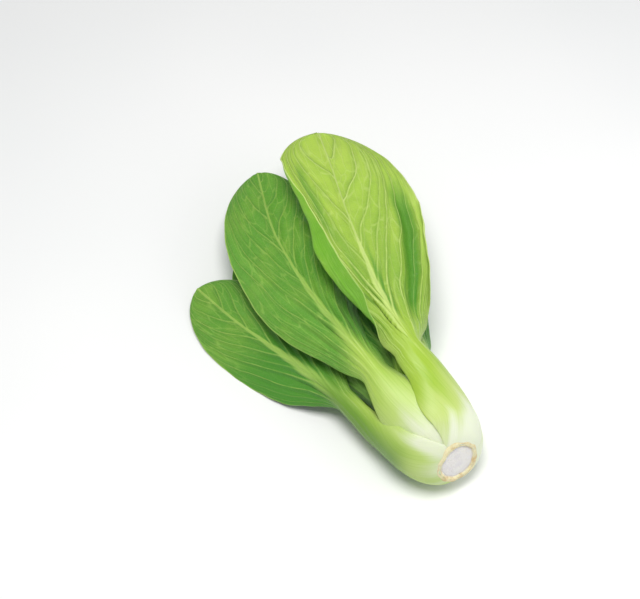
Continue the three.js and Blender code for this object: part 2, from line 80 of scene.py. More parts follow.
# The leaves, outermost first. These values are the CAD's: place round the head axis (phi, in
# degrees from straight up toward -Y), radius at foot and bulge, midline (x, y, z and the angle
# that the leaf faces), half widths, thickness, cup, folds, slim places, waves and groove. The
# bud leaf is free: it doesn't wrap the bulb.
# The rest is the scene's: the mesh grid, the veins, the look, greener (how much greener the
# stalk is, and how that changes across it), pale_on (how far the pale stalk goes on into the
# blade), rib_share (how wide the midrib shows) and where shade is painted, as told below.
LEAVES = [
    dict(
        name="leaf_01_outer_top", look="pale", greener=(-0.02, -0.08), rib_share=0.45,
        # painted shade along a narrow line beside the midrib and a broad one low on the right
        painted_shade_lines=[dict(dark=0.75, at=0.085, width=0.035, along=(0.33, 0.08, 0.5, 0.16)),
                 dict(dark=0.26, at=0.34, width=0.17, along=(0.36, 0.08, 0.52, 0.2))],
        phi=43, foot=10.5, bulge=23.2, start=BASE_X,
        path=[(21, -12.5, 49, 26), (43, -9.5, 53, 15), (70, -11.5, 54.5, 8), (102, -18.5, 55, 5),
              (137, -28, 53, 5), (165, -37, 50, 5), (194, -46, 44.5, 5)],
        half=(14, 23, 9.5, 41), neck=0.29, taper=0.55, spread=0.1, thick=(5.5, 4.5, 2.2),
        cup=(65, 65, 52, 22, 8, 8, 12),
        folds={
            -1: dict(angle=156, bend=7, strip=[(0.29, 0), (0.33, 3), (0.36, 5.4), (0.4, 7.9),
                     (0.44, 12), (0.5, 13.8), (0.6, 14.5), (0.68, 10), (0.76, 8.4), (0.82, 6.2),
                     (0.87, 5.4), (0.91, 4.4), (0.945, 0), (1, 0)]),
            1: dict(angle=120, bend=7, strip=[(0.3, 0), (0.42, 7), (0.56, 9), (0.68, 6),
                    (0.78, 0)]),
        },
        wave=(1, 2.3, 0), asym=0.04, grid=(300, 150), veins=5, vein_reach=(0.98, 0.9),
        vein_crowding=0.15, vein_bow=1,
        slim=[(0.14, 1, 1), (0.22, 0.92, 0.95), (0.28, 0.98, 0.95), (0.31, 0.77, 1),
              (0.34, 0.52, 0.96), (0.37, 0.5, 0.92), (0.4, 0.58, 0.94), (0.44, 0.76, 0.97),
              (0.5, 0.885, 1.02), (0.6, 0.957, 1.06), (0.68, 0.77, 1.07), (0.76, 0.785, 1.065),
              (0.82, 0.84, 1.055), (0.87, 0.93, 1.04), (0.94, 1.08, 0.97), (1, 1.15, 0.95)],
        groove=dict(at=[(0.4, 0.59), (0.5, 0.66), (0.6, 0.7), (0.7, 0.76)], width=0.105,
                    depth=[(0.34, 0), (0.42, 4.4), (0.7, 4.2), (0.84, 0)]),
    ),
    dict(
        name="leaf_02_outer_left", look="green", greener=(0.25, -0.36), rib_share=0.8,
        painted_shade_turned_down=dict(side=-1, dark=1.0, across=(-0.9, -0.1), along=(0.06, 0.08, 0.6, 0.25)),
        phi=-100, foot=10.5, bulge=23.7, start=BASE_X,
        path=[(17, 26.5, 22, -76), (34, 28, 22.5, -60), (52, 31, 21.5, -46), (75, 37, 18.5, -34),
              (100, 44.5, 15, -28), (125, 51.5, 11.5, -25), (156, 58, 8, -22)],
        half=(18, 24.5, 8.2, 27), neck=0.37, taper=0.6, spread=0.11, thick=(5.5, 4.6, 2.2),
        cup=(65, 65, 56, 30, 12, 10, 12), wave=(1.8, 2.2, 2), grid=(230, 110), veins=7,
        slim=[(0.08, 1, 1), (0.18, 1, 0.84), (0.3, 0.95, 0.72), (0.37, 0.9, 0.8),
              (0.41, 0.74, 0.7), (0.46, 0.85, 0.84), (0.55, 1, 1)],
    ),
    dict(
        name="leaf_03_outer_right", look="green", phi=125, foot=10.5, bulge=23.3, start=BASE_X,
        path=[(20, -21, 12, 130), (42, -23, 7.5, 150), (65, -27, 3.6, 168), (95, -32, 1.6, 178),
              (125, -37, 1.4, 182), (150, -41, 3, 184), (172, -45, 6, 186)],
        half=(15, 25, 8.5, 27), neck=0.34, taper=0.6, spread=0.12, thick=(5.2, 4.2, 2),
        cup=(65, 65, 50, 24, 10, 8, 8), wave=(1.2, 2.5, 0), grid=(200, 90), veins=7,
        slim=[(0.26, 1, 1), (0.35, 0.76, 1), (0.43, 0.68, 1), (0.52, 0.8, 1), (0.64, 1, 1)],
    ),
    dict(
        name="leaf_04_top", look="green", greener=(-0.01, 0), pale_on=0.03, rib_share=0.65,
        painted_shade_turned_down=dict(side=1, dark=0.6, across=(0.25, 0.75), along=(0.2, 0.08, 0.6, 0.25)),
        phi=-21, foot=9.4, bulge=19.6, start=-18,
        path=[(23, 12, 45, -16), (47, 13, 44.5, -14), (69, 13.5, 42.5, -14), (94, 14.5, 40.5, -12),
              (124, 13, 37.5, -8), (156, 8, 34.5, -6), (197, -6, 29.5, -4)],
        half=(12, 22, 8, 33), neck=0.27, taper=0.6, spread=0.1, thick=(4.8, 4.4, 2.2),
        cup=(60, 62, 48, 26, 16, 14, 14),
        folds={1: dict(angle=-40, bend=6, strip=[(0.28, 0), (0.4, 14), (0.5, 20), (0.75, 16),
                       (0.9, 8), (1, 0)])},
        wave=(2, 2.6, 1), asym=0.05, grid=(270, 130), veins=7,
        slim=[(0.1, 1, 1), (0.2, 0.9, 1), (0.27, 0.8, 0.8), (0.31, 0.74, 0.54), (0.34, 0.78, 0.5),
              (0.42, 0.9, 0.66), (0.52, 1, 0.84), (0.64, 1, 0.97), (1, 1, 1)],
    ),
    dict(
        name="leaf_05_under", look="green", phi=-150, foot=9.6, bulge=19.8, start=-18.5,
        path=[(20, 11, 7.5, -158), (42, 13.5, 4.8, -168), (65, 16.5, 3, -176), (92, 19, 1.6, -180),
              (120, 21, 1.4, -182), (145, 22, 3, -184), (164, 23, 6, -186)],
        half=(13, 23, 8.2, 25), neck=0.34, taper=0.6, spread=0.12, thick=(5, 4.2, 2),
        cup=(65, 65, 46, 20, 8, 6, 6), wave=(1, 2.2, 0.5), grid=(190, 90), veins=7,
    ),
    dict(
        name="leaf_06_inner_right", look="deep", phi=71, foot=8, bulge=16, start=-14,
        path=[(22, -18, 29, 64), (45, -23, 27, 38), (70, -29, 23.5, 16), (100, -34, 19.5, 10),
              (130, -38, 16.5, 8), (158, -42, 13.5, 6)],
        half=(9, 17, 7, 24), neck=0.34, taper=0.6, spread=0.12, thick=(4.2, 3.6, 1.8),
        cup=(60, 62, 48, 22, 12, 10, 12), wave=(1.6, 2.5, 0.7), grid=(170, 80), veins=6,
        slim=[(0.28, 1, 1), (0.36, 1, 0.8), (0.44, 1, 0.68), (0.54, 1, 0.82), (0.66, 1, 1)],
    ),
    dict(
        name="leaf_07_inner_left", look="deep", pale_on=-0.16,
        phi=-67, foot=7.8, bulge=14.8, start=-14,
        path=[(22, 14, 28.5, -62), (45, 17, 25.5, -46), (70, 20, 21, -26), (98, 23, 17.5, -14),
              (124, 25, 15, -10), (146, 27, 12.5, -8)],
        half=(9, 16, 7, 21), neck=0.34, taper=0.6, spread=0.12, thick=(4, 3.4, 1.8),
        cup=(60, 62, 48, 22, 12, 10, 12), wave=(1.4, 2.5, 2.7), grid=(160, 70), veins=6,
    ),
    dict(
        name="leaf_08_inner_under", look="deep", phi=160, foot=7.6, bulge=14.6, start=-13,
        path=[(22, -7, 11, 162), (45, -6, 9.5, 172), (70, -5, 8, 180), (100, -4, 8, 182),
              (128, -4, 7.1, 184), (150, -4, 9.5, 186)],
        half=(9, 16, 6.6, 20), neck=0.34, taper=0.6, spread=0.12, thick=(4, 3.4, 1.8),
        cup=(60, 60, 44, 18, 8, 8, 8), wave=(1, 2.5, 1.7), grid=(160, 70), veins=6,
    ),
    dict(
        name="leaf_09_heart_top", look="deep", phi=18, foot=5.8, bulge=11.2, start=-9,
        path=[(22, -4, 35, 20), (45, -9, 37.5, 14), (70, -18, 38, 10), (98, -25, 36, 8),
              (120, -30, 34, 6), (140, -34, 32, 6)],
        half=(6, 12, 5.6, 15), neck=0.36, taper=0.65, spread=0.12, thick=(3.4, 3, 1.5),
        cup=(60, 60, 44, 24, 14, 12, 12), wave=(1.4, 2.5, 0.2), grid=(150, 64), veins=6,
    ),
    dict(
        name="leaf_10_heart_under", look="deep", phi=-119, foot=4.2, bulge=7.6, start=-6,
        path=[(22, 5, 19.5, -122), (45, 6, 17, -150), (70, 6, 14, -172), (92, 6, 12.5, -178),
              (112, 6, 13, -182)],
        half=(4, 8.5, 4.6, 13), neck=0.38, taper=0.65, spread=0.12, thick=(2.8, 2.4, 1.2),
        cup=(60, 60, 44, 24, 14, 10, 10), wave=(1, 2.5, 1.2), grid=(120, 50), veins=5,
    ),
    dict(
        name="leaf_11_bud", look="deep", phi=0, foot=1.2, bulge=2.2, start=-2,
        path=[(18, 0, 27, 0), (34, -1, 30, -2), (52, -3.5, 33.6, -2), (72, -3, 31, -5),
              (94, -4, 27, -6)],
        half=(1.6, 4, 3.6, 9.5), neck=0.36, taper=0.7, spread=0.2, thick=(1.8, 1.6, 0.9),
        cup=(40, 40, 40, 24, 18, 14, 14), wave=(0.8, 2.5, 1.2), grid=(110, 44), veins=4,
        free=True,
    ),
]


# ---------------------------------------------------------------- small helpers
def smooth(t):
    t = np.clip(t, 0, 1)
    return t * t * (3 - 2 * t)


def mix(a, b, t):
    return a + (b - a) * t


def straight_table(table, x):
    places, values = zip(*table)
    return np.interp(x, places, values)


def curved_table(table, x):
    """Value at x of a list of (x, value) pairs, along a smooth curve."""
    places, values = np.array(table, float).T
    if len(places) == 1:
        return np.full(len(x), values[0])
    slopes = np.zeros(len(places))
    slopes[1:-1] = (values[2:] - values[:-2]) / (places[2:] - places[:-2])
    x = np.clip(x, places[0], places[-1])
    k = np.clip(np.searchsorted(places, x) - 1, 0, len(places) - 2)
    h = places[k + 1] - places[k]
    t = (x - places[k]) / h
    return (
        (2 * t**3 - 3 * t**2 + 1) * values[k] + (t**3 - 2 * t**2 + t) * h * slopes[k]
        + (3 * t**2 - 2 * t**3) * values[k + 1] + (t**3 - t**2) * h * slopes[k + 1]
    )


def bend_base(points):
    """The crook of the stem end: it leans sideways and its cut face tips up."""
    t = smooth((BEND_FROM - points[..., 0]) / BEND_LENGTH)
    bent = points.copy()
    bent[..., 0] += BEND_TILT * t * (points[..., 2] - AXIS_HEIGHT)
    bent[..., 1] += BEND_SIDEWAYS * t
    return bent


# ---------------------------------------------------------------- midline of a leaf
def leaf_midline(leaf):
    """Points (x, y, z, angle) up the bulb and along the path, and the distance to each."""
    phi = math.radians(leaf["phi"])

    def ring(x, radius):
        return (x, -radius * math.sin(phi), AXIS_HEIGHT + radius * math.cos(phi), leaf["phi"])

    rise = leaf["bulge"] - leaf["foot"]
    run = BULB_TOP_X - leaf["start"]
    knots = [ring(leaf["start"], leaf["foot"])]
    knots += [ring(leaf["start"] + run * a, leaf["foot"] + rise * b) for a, b in BULB_KNOTS]
    knots = np.array([*knots, ring(BULB_TOP_X, leaf["bulge"]), *leaf["path"]], float)
    padded = np.vstack([2 * knots[0] - knots[1], knots, 2 * knots[-1] - knots[-2]])
    points = []
    for a, b, c, d in zip(padded, padded[1:], padded[2:], padded[3:]):
        t = (np.arange(CURVE_STEPS) / CURVE_STEPS)[:, None]
        points.append(0.5 * (
            2 * b + (c - a) * t + (2 * a - 5 * b + 4 * c - d) * t**2
            + (3 * b - a - 3 * c + d) * t**3
        ))
    points = np.vstack([*points, knots[-1:]])
    steps = np.linalg.norm(np.diff(points[:, :3], axis=0), axis=1)
    return points, np.concatenate([[0], np.cumsum(steps)])


# ---------------------------------------------------------------- widths and thickness
def half_width(leaf, s):
    """A leafstalk, widest in the bulb and slim at the neck, then a spoon-shaped blade."""
    base, bulb, neck, blade = leaf["half"]
    fade = np.exp(-np.maximum(0, s - 0.1) ** 2 / (2 * leaf["spread"] ** 2))
    foot = 1 - (1 - base / bulb) * np.clip(1 - s / 0.1, 0, 1) ** 1.5
    stalk = (neck + (bulb - neck) * fade) * foot
    u = np.clip((s - leaf["neck"]) / (1 - leaf["neck"]), 0, 1)
    taper, tip = leaf["taper"], TIP_ROUNDNESS
    peak = (taper / (taper + tip)) ** taper * (tip / (taper + tip)) ** tip
    spoon = smooth(u / 0.1 + 0.25) * u**taper * (1 - u) ** tip / peak
    width = stalk * np.sqrt(np.clip(1 - u**3, 0, 1)) + (blade - neck) * spoon
    return np.maximum(width, 0.6)


def face_offsets(leaf, s, w):
    """Thickness outward and inward of the middle surface, on a grid of s by w."""
    bulb, neck, blade = leaf["thick"]
    n = leaf["neck"]
    height = straight_table(
        [(0, bulb * 0.5), (0.12, bulb), (n, neck), (n + 0.2, blade), (0.8, blade * 0.45), (1, 0.2)],
        s,
    )
    width = straight_table([(0, 1), (n - 0.12, 1), (n + 0.05, 0.5), (n + 0.2, 0.2), (1, 0.07)], s)
    q = np.abs(w)[None, :]
    to_blade = smooth((s - n + 0.12) / 0.16)[:, None]
    rib = np.exp(-((q / (width[:, None] * 0.9)) ** 2))
    added = height[:, None] * mix(1 - q**2.2, rib, to_blade)
    outer_share = mix(0.5, 0.8, to_blade)
    return LAMINA / 2 + added * outer_share, LAMINA / 2 + added * (1 - outer_share)


# ---------------------------------------------------------------- middle surface of a leaf
def half_sections(leaf, s, side, width, q):
    """Distances across and outward of one half of each cross-section, at shares q of it."""
    cup = np.radians(np.interp(s, CUP_STATIONS, leaf["cup"]))[:, None]
    middle = ((np.arange(SECTION_STEPS) + 0.5) / SECTION_STEPS)[None, :]
    turn = -cup * middle
    fold = leaf.get("folds", {}).get(side)
    if fold:
        strip = curved_table(fold["strip"], s)[:, None]
        start = np.maximum(1 - strip / width[:, None], 0.05)
        reached = smooth((middle - start) * width[:, None] / fold["bend"])
        folded = math.radians(fold["angle"]) * smooth(strip / 6) * reached
        turn = turn + np.where(strip > 0.2, folded, 0)
    step = width[:, None] / SECTION_STEPS
    zero = np.zeros((len(s), 1))
    across = np.hstack([zero, np.cumsum(np.cos(turn) * step, axis=1)])
    outward = np.hstack([zero, np.cumsum(np.sin(turn) * step, axis=1)])
    place = q * SECTION_STEPS
    k = np.minimum(place.astype(int), SECTION_STEPS - 1)
    t = (place - k)[None, :]
    return mix(across[:, k], across[:, k + 1], t), mix(outward[:, k], outward[:, k + 1], t)


def middle_surface(leaf, s, w):
    """Points of the middle surface for s from base to tip and w from left to right margin."""
    curve, distance = leaf_midline(leaf)
    length = distance[-1]
    travelled = s * length

    def along_curve(where, column):
        return np.interp(np.clip(where, 0, length), distance, curve[:, column])

    centre = np.stack([along_curve(travelled, i) for i in range(3)], axis=1)
    angle = np.radians(along_curve(travelled, 3))
    step = length * 0.01
    ahead = np.stack([along_curve(travelled + step, i) for i in range(3)], axis=1)
    behind = np.stack([along_curve(travelled - step, i) for i in range(3)], axis=1)
    along = ahead - behind
    along /= np.linalg.norm(along, axis=1)[:, None]
    out = np.stack([np.zeros_like(angle), -np.sin(angle), np.cos(angle)], axis=1)
    out -= (out * along).sum(axis=1)[:, None] * along
    out /= np.linalg.norm(out, axis=1)[:, None]
    across = np.cross(along, out)

    half = half_width(leaf, s)
    is_blade = smooth((s - leaf["neck"] + 0.06) / 0.2)
    slim = np.array(leaf.get("slim", [(0, 1, 1)]), float).T
    points = np.empty((len(s), len(w), 3))
    for side in (-1, 1):
        columns = np.where(w > 0 if side > 0 else w <= 0)[0]
        q = np.abs(w[columns])
        width = half * (1 + side * leaf.get("asym", 0) * is_blade)
        width = width * curved_table(np.stack([slim[0], slim[1 if side < 0 else 2]], axis=1), s)
        nick = np.sin(41 * s + 2 * side + leaf["phi"]) + 0.7 * np.sin(97 * s - side + leaf["phi"])
        width = width * (1 + MARGIN_NICKS * is_blade * nick)
        x, n = half_sections(leaf, s, side, width, q)
        height, count, phase = leaf["wave"]
        beat = np.sin(2 * math.pi * count * s + phase + (1.7 if side > 0 else 0))
        n = n + height * (is_blade * beat)[:, None] * q[None, :] ** 2
        groove = leaf.get("groove")
        if groove and side > 0:
            depth = np.interp(s, *zip(*groove["depth"]))[:, None]
            place = np.interp(s, *zip(*groove["at"]))[:, None]
            n = n - depth * np.exp(-(((q[None, :] - place) / groove["width"]) ** 2))
        points[:, columns] = (
            centre[:, None] + across[:, None] * side * x[:, :, None] + out[:, None] * n[:, :, None]
        )
    leaving = np.ones(len(s))
    if not leaf.get("free"):
        leaving = smooth((travelled - TURN_START) / TURN_LENGTH)
    y, z = centre[:, 1:2], centre[:, 2:3] - AXIS_HEIGHT
    turned = w[None, :] * half[:, None] / np.maximum(np.hypot(y, z), 1e-6)
    bulb = np.stack([
        np.broadcast_to(centre[:, 0:1], turned.shape),
        y * np.cos(turned) - z * np.sin(turned),
        AXIS_HEIGHT + z * np.cos(turned) + y * np.sin(turned),
    ], axis=2)
    points = mix(bulb, points, leaving[:, None, None])
    return bend_base(points), half, length


def surface_normals(points):
    crosswise = np.gradient(points, axis=1)
    lengthwise = np.gradient(points, axis=0)
    normals = np.cross(crosswise, lengthwise)
    return normals / np.maximum(np.linalg.norm(normals, axis=2), 1e-12)[:, :, None]


# ---------------------------------------------------------------- veins
VEIN_BOW = 1.3  # how a side vein curves outward
VEIN_REACH = (0.82, 0.76)  # length along the leaf of a side vein: less for the higher ones
VEIN_DENSITY = 1.25  # side veins along the whole length, for each one in a leaf's veins
LOWEST_VEIN = 0.30  # share of the length where the lowest side vein leaves the midrib
CROWDING_LENGTH = 0.12  # over which veins crowd above the lowest one
STALK_RIBS = 0.3  # how densely the veins below it stand in the leafstalk, as a share
FAN_SOFTNESS = 0.02  # how softly the veins of the stalk turn into the fan
WOBBLE_WAVES = ((17, 3), (29, -5), (11, 8), (41, 6))  # along and across a leaf
WOBBLE_SIZE = (0.02, 0.05)  # as shares of the space from vein to vein
RIGHT_SHIFT = (0.35, 0.65)  # veins of the right half start between those of the left


def vein_places(leaf, rng, s, w, half, length):
    """Count of side veins at each point (whole numbers are veins) and mm from one to the next."""
    fan = leaf["neck"] + 0.05  # above it the veins fan out, and below it they run lengthwise
    reach, lessening = leaf.get("vein_reach", VEIN_REACH)
    crowding = leaf.get("vein_crowding", 0)
    bow = leaf.get("vein_bow", VEIN_BOW)

    def count(s_at, w_at):
        held = fan + np.logaddexp(0, (s_at - fan) / FAN_SOFTNESS) * FAN_SOFTNESS
        t = np.abs(w_at) ** (1 / bow)
        root = (held - reach * t) / (1 - lessening * t)
        above = root - LOWEST_VEIN
        crowded = crowding * (1 - np.exp(-np.maximum(above, 0) / CROWDING_LENGTH))
        root = np.where(above > 0, root + crowded, LOWEST_VEIN + above * STALK_RIBS)
        return root * leaf["veins"] * VEIN_DENSITY

    s_grid, w_grid = np.meshgrid(s, w, indexing="ij")
    phase = count(s_grid, w_grid)
    wobble = sum(
        rng.uniform(*WOBBLE_SIZE) * np.sin(a * s_grid + b * w_grid + rng.uniform(0, 6.3))
        for a, b in WOBBLE_WAVES
    )
    side_shift = np.where(w_grid > 0, rng.uniform(*RIGHT_SHIFT), 0.0)
    in_blade = smooth((s_grid - fan + 0.03) / 0.08)
    phase = phase + wobble * in_blade * smooth(np.abs(w_grid) / 0.08) + side_shift

    half_slope = np.gradient(half, s)
    by_s = np.gradient(phase, s, axis=0)
    by_w = np.gradient(phase, w, axis=1)
    wide = np.maximum(half, 0.5)[:, None]
    outward = by_w / wide
    onward = (by_s - by_w * w_grid * (half_slope[:, None] / wide)) / length
    return phase, 1 / np.maximum(np.hypot(outward, onward), 0.02)


# ---------------------------------------------------------------- meshes
def new_object(name, vertices, faces, shift=RESTING_SPOT):
    mesh = bpy.data.meshes.new(name)
    vertices = np.asarray(vertices, float) - np.array([*shift, 0])
    mesh.from_pydata((vertices * MM).tolist(), [], faces)
    mesh.update()
    mesh.polygons.foreach_set("use_smooth", [True] * len(mesh.polygons))
    piece = bpy.data.objects.new(name, mesh)
    bpy.context.scene.collection.objects.link(piece)
    return piece


def add_values(piece, name, values):
    attribute = piece.data.attributes.new(name, "FLOAT", "POINT")
    attribute.data.foreach_set("value", np.asarray(values, np.float32).ravel())


def add_places(piece, name, places):
    attribute = piece.data.attributes.new(name, "FLOAT_VECTOR", "POINT")
    attribute.data.foreach_set("vector", np.asarray(places, np.float32).ravel())


def shell_faces(rows, columns):
    """Faces of a closed shell: an outer grid, an inner grid and the rim between them."""
    layer = rows * columns
    grid = np.arange(layer).reshape(rows, columns)
    a, b = grid[:-1, :-1].ravel(), grid[:-1, 1:].ravel()
    c, d = grid[1:, 1:].ravel(), grid[1:, :-1].ravel()
    outer = np.stack([a, b, c, d], axis=1)
    inner = np.stack([a, d, c, b], axis=1) + layer
    rim = []
    margins = ((grid[:, 0], True), (grid[:, -1], False))
    ends = ((grid[0], False), (grid[-1], True))
    for line, flip in margins + ends:
        p, q = line[:-1], line[1:]
        edge = np.stack([p, q, q + layer, p + layer], axis=1)
        rim.append(edge if flip else edge[:, ::-1])
    return np.vstack([outer, inner, *rim]).tolist()


# ---------------------------------------------------------------- painted shade in the hollows
# Painted shade darkens a hollow by a share from 0 to 1, worked out for each point of a leaf, and
# below 0 it is painted light where the leaf catches the light. A hollow's "along" is where it
# starts, the stretch over which it comes in, where it ends, and the stretch over which it fades.
# painted shade beside a folded margin: how dark, where along, and lighter low down
FOLD_PAINTED_SHADE = 0.7  # shade under a folded margin
FOLD_ALONG = (0.4, 0.12, 0.84, 0.08)
FOLD_LOW_SHARE, FOLD_FULL_FROM, FOLD_FULL_OVER = 0.55, 0.6, 0.14  # it is lighter low down


def stretch(s, start, coming_in, end, fading):
    """1 along a hollow and 0 elsewhere, with soft ends."""
    return smooth((s - start) / coming_in) * (1 - smooth((s - end) / fading))


def painted_turned_down_shade(painted_shade, s, w):
    """Painted shade over the side of a leaf that is turned down."""
    low, high = painted_shade["across"]
    across = painted_shade["dark"] * smooth((painted_shade["side"] * w - low) / (high - low))
    return stretch(s, *painted_shade["along"])[:, None] * across[None, :]


def painted_groove_shade_and_light(groove, s, w):
    """Painted shade in the groove, and painted light on the strip of blade beyond it."""
    depth = curved_table(groove["depth"], s) / max(value for _, value in groove["depth"])
    place = straight_table(groove["at"], s)[:, None]
    beyond = (w[None, :] - place) / groove["width"]
    painted_light_strip = smooth((beyond - 1.1) / 0.5) * smooth((s - 0.4) / 0.2)[:, None]
    across = np.exp(-((beyond / 1.1) ** 4)) - painted_light_strip
    return np.clip(depth, 0, 1)[:, None] * across


def painted_fold_shade(fold, s, w, half):
    """Painted shade on the blade beside the free edge of its left margin, which is folded over."""
    free_edge = 2 * curved_table(fold["strip"], s) / half - 1
    beside = w[None, :] - free_edge[:, None]
    under = smooth((beside + 0.05) / 0.07) * (1 - smooth(beside / 0.22))
    start, coming_in, end, fading = FOLD_ALONG
    low = FOLD_LOW_SHARE * smooth((s - start) / coming_in)
    reach = mix(low, 1, smooth((s - FOLD_FULL_FROM) / FOLD_FULL_OVER))
    reach = reach * (1 - smooth((s - end) / fading))
    return FOLD_PAINTED_SHADE * under * reach[:, None]


def painted_line_shade(painted_line, s, w):
    """Painted shade along a narrow or broad line of the blade."""
    across = np.exp(-(((w - painted_line["at"]) / painted_line["width"]) ** 2))
    return painted_line["dark"] * across[None, :] * stretch(s, *painted_line["along"])[:, None]


def painted_hollow_shade(leaf, s, w, half):
    """How dark the painted shade at each point in a hollow is, and below 0 where light is painted
    on.
    """
    shade = np.zeros((len(s), len(w)))
    if "painted_shade_turned_down" in leaf:
        shade += painted_turned_down_shade(leaf["painted_shade_turned_down"], s, w)
    if "groove" in leaf:
        shade += painted_groove_shade_and_light(leaf["groove"], s, w)
        shade += painted_fold_shade(leaf["folds"][-1], s, w, half)
    for painted_line in leaf.get("painted_shade_lines", []):
        shade += painted_line_shade(painted_line, s, w)
    return shade


# ---------------------------------------------------------------- leaves and stem
LEAF_SPACING = 50  # keeps the noise on one leaf apart from that on the next
GREENER_LIMITS = (-0.06, 0.08)


def build_leaf(leaf, seed):
    """A leaf as a closed shell of two faces, with what its material needs at each point."""
    rng = np.random.default_rng(seed)
    rows, columns = leaf["grid"]
    t = np.linspace(0, 1, rows)
    s = np.clip(t - 0.05 * np.sin(2 * math.pi * t), 0, 1)  # rows stand closer at the ends
    w = np.linspace(-1, 1, columns)
    to_margin = 1 - np.abs(w)[None, :]
    points, half, length = middle_surface(leaf, s, w)
    blade = smooth((s - leaf["neck"] + 0.06) / 0.2)[:, None] * np.ones((1, columns))
    across = w[None, :] * half[:, None]
    along = np.broadcast_to((s * length)[:, None], across.shape)
    phase, spacing = vein_places(leaf, rng, s, w, half, length)
    from_side_vein = np.abs(phase - np.round(phase)) * spacing
    from_vein = np.minimum(from_side_vein, np.abs(across))

    # Soft quilting: the blade sinks toward its upper face between the veins.
    sunk = QUILT_DEPTH * smooth(from_vein / QUILT_REACH) * blade * smooth(to_margin / 0.5)
    points = points - surface_normals(points) * sunk[:, :, None]
    normals = surface_normals(points)

    out, into = face_offsets(leaf, s, w)
    ridge = RIDGE_HEIGHT * np.exp(-((from_vein / RIDGE_WIDTH) ** 2)) * blade
    ridge = ridge * smooth(to_margin / 0.12) * (1 - 0.6 * np.abs(w)[None, :])
    near_edge = smooth((np.abs(across) - half[:, None] + EDGE_BAND) / EDGE_BAND)
    thinned = 1 - EDGE_THINNING * near_edge
    flutes = FLUTE_HEIGHT * np.cos(w * FLUTE_COUNT)[None, :] * (1 - blade)
    flutes = flutes * smooth((s - 0.12) / 0.15)[:, None]
    outer = points + normals * (out * thinned + ridge + flutes)[:, :, None]
    inner = points - normals * (into * thinned - DENT_SHARE * ridge)[:, :, None]
    outer[..., 2] = np.maximum(outer[..., 2], 0)
    inner[..., 2] = np.maximum(inner[..., 2], 0)

    piece = new_object(
        leaf["name"] + "_look",
        np.vstack([outer.reshape(-1, 3), inner.reshape(-1, 3)]), shell_faces(rows, columns),
    )
    underside = np.ones_like(across)
    places = np.stack([across, along, underside * LEAF_SPACING * seed], axis=2).reshape(-1, 3)
    add_places(piece, "leaf_place", np.vstack([places, places]))
    veins = np.stack([phase, spacing, np.abs(across)], axis=2).reshape(-1, 3)
    add_places(piece, "vein_place", np.vstack([veins, veins]))
    middle, slope = leaf.get("greener", (0, 0))
    on_both_faces = {
        "along": s[:, None],
        "margin": np.abs(w)[None, :],
        "neck": leaf["neck"] + leaf.get("pale_on", 0),
        "greener": np.clip(middle + slope * w[None, :], *GREENER_LIMITS),
        # painted shade of the hollows, and painted light where the leaf catches the light
        "painted_shade": painted_hollow_shade(leaf, s, w, half),
        "rib_share": leaf.get("rib_share", 1),
    }
    for name, values in on_both_faces.items():
        add_values(piece, name, np.tile(np.broadcast_to(values, across.shape).ravel(), 2))
    add_values(piece, "underside", np.concatenate([underside.ravel(), 0 * underside.ravel()]))
    return piece


def build_stem():
    """The cut stem as a turned form with a ragged rim, finer than the CAD's."""
    inset, radius = np.array(STEM_PROFILE, float).T
    turns = np.linspace(0, 2 * math.pi, STEM_SEGMENTS, endpoint=False)
    knots = range(len(inset))
    fine = np.linspace(0, len(inset) - 1, RINGS_PER_SPAN * (len(inset) - 1) + 1)
    inset, radius = np.interp(fine, knots, inset), np.interp(fine, knots, radius)
    depths, radii = inset[1:-1, None], radius[1:-1, None]
    ragged = 1 + sum(share * np.sin(n * turns + phase) for n, share, phase in STEM_RAGGED)
    rng = np.random.default_rng(5)
    r = radii * np.where(radii > PITH_RADIUS, ragged[None, :], 1)
    rim = np.exp(-(((radii - RIM_RADIUS) / RIM_WIDTH) ** 2)) * (depths < 0)
    notch = sum(
        rng.uniform(0.1, 0.35) * np.sin(n * turns + rng.uniform(0, 6.3)) for n in RIM_WAVES
    )
    x = BASE_X + depths + np.zeros_like(r) - RIM_NOTCH * rim * notch[None, :]
    points = np.stack([x, -r * np.sin(turns), AXIS_HEIGHT + r * np.cos(turns)], axis=2)
    ends = [[BASE_X + inset[0], 0, AXIS_HEIGHT], [BASE_X + inset[-1], 0, AXIS_HEIGHT]]
    vertices = bend_base(np.vstack([np.array(ends), points.reshape(-1, 3)]))
    rows = len(points)
    faces = []
    for j in range(STEM_SEGMENTS):
        k = (j + 1) % STEM_SEGMENTS
        faces.append((0, 2 + k, 2 + j))
        last = 2 + (rows - 1) * STEM_SEGMENTS
        faces.append((1, last + j, last + k))
        for i in range(rows - 1):
            a = 2 + i * STEM_SEGMENTS
            b = a + STEM_SEGMENTS
            faces.append((a + j, a + k, b + k, b + j))
    piece = new_object("stem_base_look", vertices, faces)
    from_axis = np.broadcast_to(radii, r.shape).ravel()
    add_values(piece, "from_axis", np.concatenate([[0, 0], from_axis]))
    return piece


# ---------------------------------------------------------------- materials
def tint(code):
    """Linear colour of an #rrggbb code."""
    values = [int(code[i:i + 2], 16) / 255 for i in (1, 3, 5)]
    return (*[v / 12.92 if v <= 0.04045 else ((v + 0.055) / 1.055) ** 2.4 for v in values], 1)


